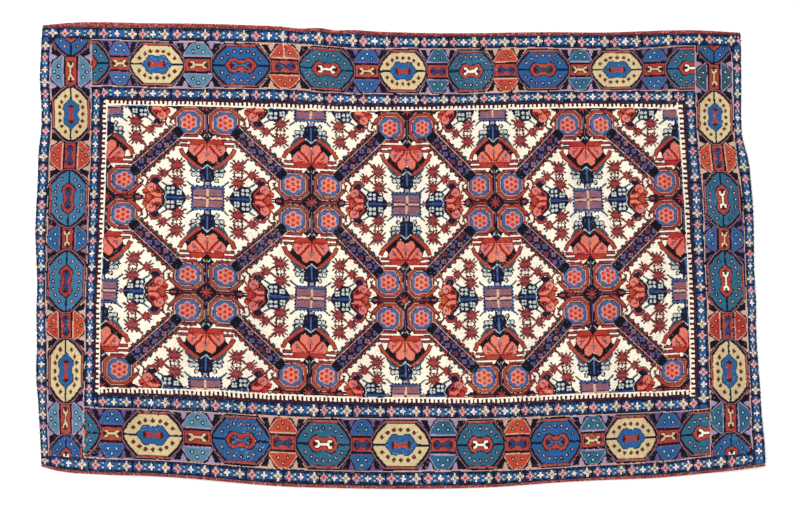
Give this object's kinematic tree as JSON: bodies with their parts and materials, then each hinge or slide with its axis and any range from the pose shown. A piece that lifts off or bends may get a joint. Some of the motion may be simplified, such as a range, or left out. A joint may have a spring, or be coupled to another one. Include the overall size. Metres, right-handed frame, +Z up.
{
  "type": "rug",
  "caption": "Rectangular knotted wool rug with overcast long sides and short worn warp ends, lying flat with low waves at its edges.",
  "frame": {"origin": "middle of the flat underside, at the floor", "axes": "+X along the long side to the right as seen with the near side towards the viewer, +Y to the far long side, +Z up through the pile"},
  "size_m": [2.0773, 1.3312, 0.0136],
  "materials": {
    "pile": "matte knotted wool pile",
    "selvedge": "overcast wool cord",
    "warp": "worn undyed wool warp"
  },
  "bodies": {
    "root": {"rug_body": "pile", "far_selvedge": "selvedge", "near_selvedge": "selvedge", "left_warp_ends": "warp", "right_warp_ends": "warp"}
  },
  "joints": []
}
